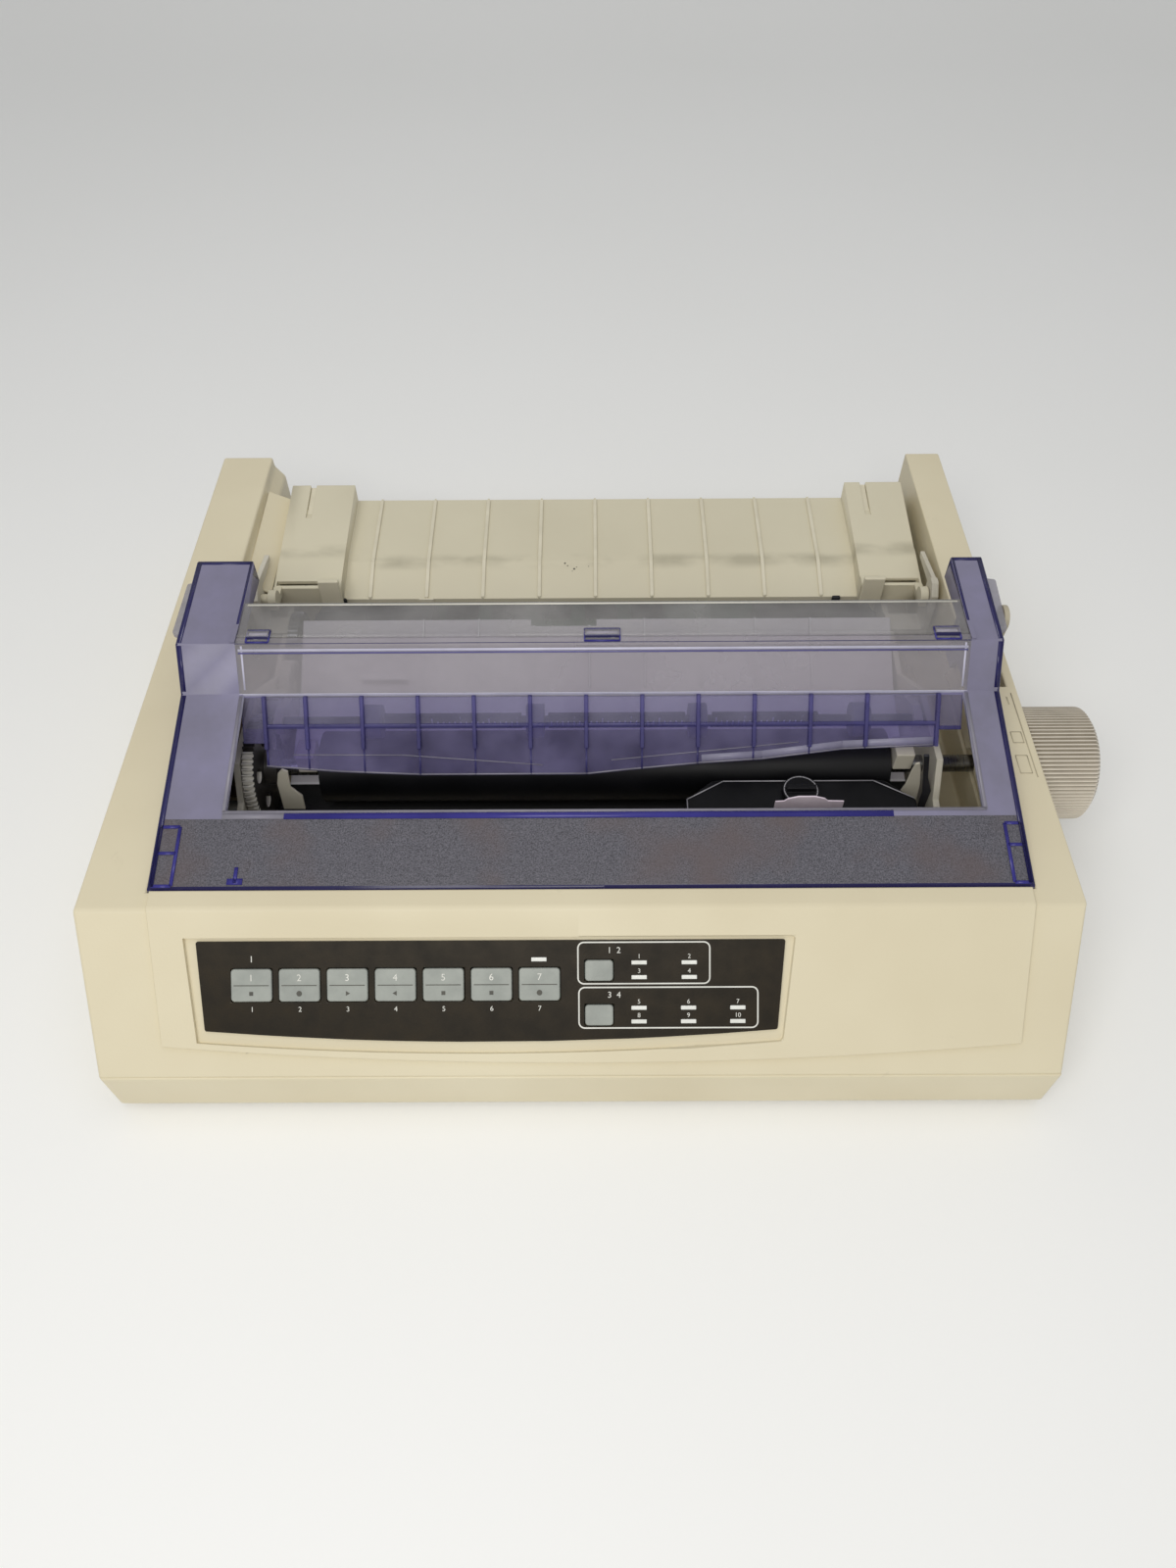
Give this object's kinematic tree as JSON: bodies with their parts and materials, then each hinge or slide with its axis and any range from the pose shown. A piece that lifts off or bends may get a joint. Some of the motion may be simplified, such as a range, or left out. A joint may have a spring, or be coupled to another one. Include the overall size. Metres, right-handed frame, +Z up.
{
  "type": "dot matrix printer",
  "caption": "Desktop dot matrix printer in beige plastic with a tinted hinged cover, slanted front with a dark key panel and a ribbed paper knob.",
  "frame": {"origin": "middle of the footprint of the whole printer with its knob, on the table", "axes": "+X along the width to the right of someone in front of the printer, +Y from the front to the rear, +Z up"},
  "size_m": [0.43, 0.345, 0.1152],
  "materials": {
    "case_plastic": "fine grain, aged",
    "lower_plastic": "fine grain, aged",
    "rubber": "matte",
    "steel": "satin",
    "overlay_film": "satin",
    "lens": "clear",
    "circuit_board": "satin",
    "button_plastic": "matte",
    "tinted_plastic": "smoked, see-through",
    "clear_plastic": "see-through",
    "beige_plastic": "matte",
    "frame_plastic": "matte",
    "gear_plastic": "satin",
    "brass": "satin",
    "knob_plastic": "matte",
    "black_plastic": "matte",
    "bar_plastic": "satin",
    "roller_plastic": "matte",
    "pale_plastic": "satin",
    "motor_metal": "satin",
    "plated_metal": "satin",
    "core_iron": "lacquered"
  },
  "bodies": {
    "case": {"lower_case": "lower_plastic", "upper_case": "case_plastic", "rubber_feet": "rubber", "case_screws": "steel", "control_overlay": "overlay_film", "indicator_lenses": "lens", "control_board": "circuit_board", "left_side_frame": "frame_plastic", "right_side_frame": "frame_plastic", "carriage_rails": "steel", "line_feed_motor": "motor_metal", "tractor_support_shaft": "steel", "paper_chute": "pale_plastic", "carriage_belt": "rubber", "spacing_motor": "motor_metal", "main_board": "circuit_board", "interface_connector": "plated_metal", "power_inlet": "black_plastic", "transformer": "core_iron"},
    "cover": {"access_cover": "tinted_plastic", "tear_guard": "tinted_plastic", "cover_grips": "clear_plastic"},
    "flap": {"rear_flap": "clear_plastic"},
    "separator": {"paper_separator": "beige_plastic"},
    "guide_left": {"sheet_guide_left": "beige_plastic"},
    "guide_right": {"sheet_guide_right": "beige_plastic"},
    "platen": {"platen_roller": "rubber", "platen_shaft": "steel", "platen_knob": "knob_plastic", "platen_gear": "gear_plastic"},
    "front_idler": {"idler_gear_front": "gear_plastic"},
    "rear_idler": {"idler_gear_rear": "gear_plastic"},
    "pinion": {"motor_pinion": "brass"},
    "tractor_drive": {"tractor_drive_shaft": "steel"},
    "left_tractor": {"tractor_left": "black_plastic"},
    "right_tractor": {"tractor_right": "black_plastic"},
    "left_lid": {"tractor_lid_left": "black_plastic"},
    "right_lid": {"tractor_lid_right": "black_plastic"},
    "left_pin_wheel": {"pin_wheel_left": "black_plastic"},
    "right_pin_wheel": {"pin_wheel_right": "black_plastic"},
    "bail": {"bail_bar": "bar_plastic", "bail_arms": "beige_plastic"},
    "bail_roller_set": {"bail_rollers": "roller_plastic"},
    "print_carriage": {"carriage": "black_plastic", "print_head": "motor_metal", "ribbon_cartridge": "black_plastic"},
    "cartridge_knob": {"ribbon_knob": "black_plastic"},
    "left_pulley": {"motor_pulley": "gear_plastic"},
    "right_pulley": {"idler_pulley": "gear_plastic"},
    "rocker": {"power_switch": "black_plastic"},
    "lever": {"paper_lever": "beige_plastic"},
    "push_1": {"button_1": "button_plastic"},
    "push_2": {"button_2": "button_plastic"},
    "push_3": {"button_3": "button_plastic"},
    "push_4": {"button_4": "button_plastic"},
    "push_5": {"button_5": "button_plastic"},
    "push_6": {"button_6": "button_plastic"},
    "push_7": {"button_7": "button_plastic"},
    "push_8": {"button_8": "button_plastic"},
    "push_9": {"button_9": "button_plastic"}
  },
  "joints": [
    {"name": "cover_hinge", "type": "hinge", "parent": "case", "child": "cover", "pos_m": [-0.0115, 0.0275, 0.062], "axis": [-1, 0, 0], "range_deg": [0, 60]},
    {"name": "flap_hinge", "type": "hinge", "parent": "cover", "child": "flap", "pos_m": [-0.0075, -0.0093, 0.1108], "axis": [1, 0, 0], "range_deg": [0, 100]},
    {"name": "separator_hinge", "type": "hinge", "parent": "case", "child": "separator", "pos_m": [-0.0115, 0.0675, 0.062], "axis": [1, 0, 0], "range_deg": [0, 50]},
    {"name": "guide_left_slide", "type": "slide", "parent": "separator", "child": "guide_left", "axis": [1, 0, 0], "range_m": [-0.0195, 0]},
    {"name": "guide_right_slide", "type": "slide", "parent": "separator", "child": "guide_right", "axis": [1, 0, 0], "range_m": [0, 0.0165]},
    {"name": "platen_spin", "type": "hinge", "parent": "case", "child": "platen", "pos_m": [-0.016, -0.0265, 0.0435], "axis": [1, 0, 0], "continuous": true},
    {"name": "front_idler_spin", "type": "hinge", "parent": "case", "child": "front_idler", "pos_m": [-0.1637, 0.00986, 0.03709], "axis": [1, 0, 0], "continuous": true},
    {"name": "rear_idler_spin", "type": "hinge", "parent": "case", "child": "rear_idler", "pos_m": [-0.1637, 0.03503, 0.03182], "axis": [1, 0, 0], "continuous": true},
    {"name": "pinion_spin", "type": "hinge", "parent": "case", "child": "pinion", "pos_m": [-0.1637, -0.0511, 0.02285], "axis": [1, 0, 0], "continuous": true},
    {"name": "tractor_drive_spin", "type": "hinge", "parent": "case", "child": "tractor_drive", "pos_m": [-0.016, 0.0655, 0.03], "axis": [1, 0, 0], "continuous": true},
    {"name": "left_tractor_slide", "type": "slide", "parent": "case", "child": "left_tractor", "axis": [1, 0, 0], "range_m": [0, 0.04]},
    {"name": "right_tractor_slide", "type": "slide", "parent": "case", "child": "right_tractor", "axis": [1, 0, 0], "range_m": [-0.04, 0]},
    {"name": "left_lid_hinge", "type": "hinge", "parent": "left_tractor", "child": "left_lid", "pos_m": [-0.1514, 0.0655, 0.044], "axis": [0, -1, 0], "range_deg": [0, 90]},
    {"name": "right_lid_hinge", "type": "hinge", "parent": "right_tractor", "child": "right_lid", "pos_m": [0.1344, 0.0655, 0.044], "axis": [0, 1, 0], "range_deg": [0, 90]},
    {"name": "left_pin_wheel_spin", "type": "hinge", "parent": "left_tractor", "child": "left_pin_wheel", "pos_m": [-0.14, 0.0655, 0.03], "axis": [1, 0, 0], "continuous": true},
    {"name": "right_pin_wheel_spin", "type": "hinge", "parent": "right_tractor", "child": "right_pin_wheel", "pos_m": [0.123, 0.0655, 0.03], "axis": [1, 0, 0], "continuous": true},
    {"name": "bail_hinge", "type": "hinge", "parent": "case", "child": "bail", "pos_m": [-0.008, -0.0005, 0.056], "axis": [-1, 0, 0], "range_deg": [0, 20]},
    {"name": "bail_rollers_spin", "type": "hinge", "parent": "bail", "child": "bail_roller_set", "pos_m": [0.0005, -0.0195, 0.067], "axis": [1, 0, 0], "continuous": true},
    {"name": "carriage_slide", "type": "slide", "parent": "case", "child": "print_carriage", "axis": [1, 0, 0], "range_m": [-0.186, 0.008]},
    {"name": "ribbon_knob_spin", "type": "hinge", "parent": "print_carriage", "child": "cartridge_knob", "pos_m": [0.08, -0.0565, 0.06], "axis": [0, 0, 1], "continuous": true},
    {"name": "motor_pulley_spin", "type": "hinge", "parent": "case", "child": "left_pulley", "pos_m": [-0.149, -0.0885, 0.028], "axis": [0, 0, 1], "continuous": true},
    {"name": "idler_pulley_spin", "type": "hinge", "parent": "case", "child": "right_pulley", "pos_m": [0.1325, -0.0885, 0.028], "axis": [0, 0, 1], "continuous": true},
    {"name": "power_switch_tilt", "type": "hinge", "parent": "case", "child": "rocker", "pos_m": [-0.12225, 0.166, 0.022], "axis": [1, 0, 0], "range_deg": [0, 18]},
    {"name": "paper_lever_tilt", "type": "hinge", "parent": "case", "child": "lever", "pos_m": [0.1725, 0.0135, 0.052], "axis": [1, 0, 0], "range_deg": [0, 22]},
    {"name": "button_1_press", "type": "slide", "parent": "case", "child": "push_1", "axis": [0, 0.646, -0.7633], "range_m": [0, 0.0012], "stiffness_N_per_m": 200, "springref_m": -0.0015},
    {"name": "button_2_press", "type": "slide", "parent": "case", "child": "push_2", "axis": [0, 0.646, -0.7633], "range_m": [0, 0.0012], "stiffness_N_per_m": 200, "springref_m": -0.0015},
    {"name": "button_3_press", "type": "slide", "parent": "case", "child": "push_3", "axis": [0, 0.646, -0.7633], "range_m": [0, 0.0012], "stiffness_N_per_m": 200, "springref_m": -0.0015},
    {"name": "button_4_press", "type": "slide", "parent": "case", "child": "push_4", "axis": [0, 0.646, -0.7633], "range_m": [0, 0.0012], "stiffness_N_per_m": 200, "springref_m": -0.0015},
    {"name": "button_5_press", "type": "slide", "parent": "case", "child": "push_5", "axis": [0, 0.646, -0.7633], "range_m": [0, 0.0012], "stiffness_N_per_m": 200, "springref_m": -0.0015},
    {"name": "button_6_press", "type": "slide", "parent": "case", "child": "push_6", "axis": [0, 0.646, -0.7633], "range_m": [0, 0.0012], "stiffness_N_per_m": 200, "springref_m": -0.0015},
    {"name": "button_7_press", "type": "slide", "parent": "case", "child": "push_7", "axis": [0, 0.646, -0.7633], "range_m": [0, 0.0012], "stiffness_N_per_m": 200, "springref_m": -0.0015},
    {"name": "button_8_press", "type": "slide", "parent": "case", "child": "push_8", "axis": [0, 0.646, -0.7633], "range_m": [0, 0.0012], "stiffness_N_per_m": 200, "springref_m": -0.0015},
    {"name": "button_9_press", "type": "slide", "parent": "case", "child": "push_9", "axis": [0, 0.646, -0.7633], "range_m": [0, 0.0012], "stiffness_N_per_m": 200, "springref_m": -0.0015}
  ],
  "couplings": [
    {"joint": "front_idler_spin", "follows": "platen_spin", "ratio": -1.875},
    {"joint": "rear_idler_spin", "follows": "platen_spin", "ratio": 1.875},
    {"joint": "tractor_drive_spin", "follows": "platen_spin", "ratio": -1.3636},
    {"joint": "left_pin_wheel_spin", "follows": "platen_spin", "ratio": -1.3636},
    {"joint": "right_pin_wheel_spin", "follows": "platen_spin", "ratio": -1.3636},
    {"joint": "pinion_spin", "follows": "platen_spin", "ratio": -3},
    {"joint": "motor_pulley_spin", "follows": "carriage_slide", "rad_per_m": 140.84},
    {"joint": "idler_pulley_spin", "follows": "carriage_slide", "rad_per_m": 140.84}
  ]
}
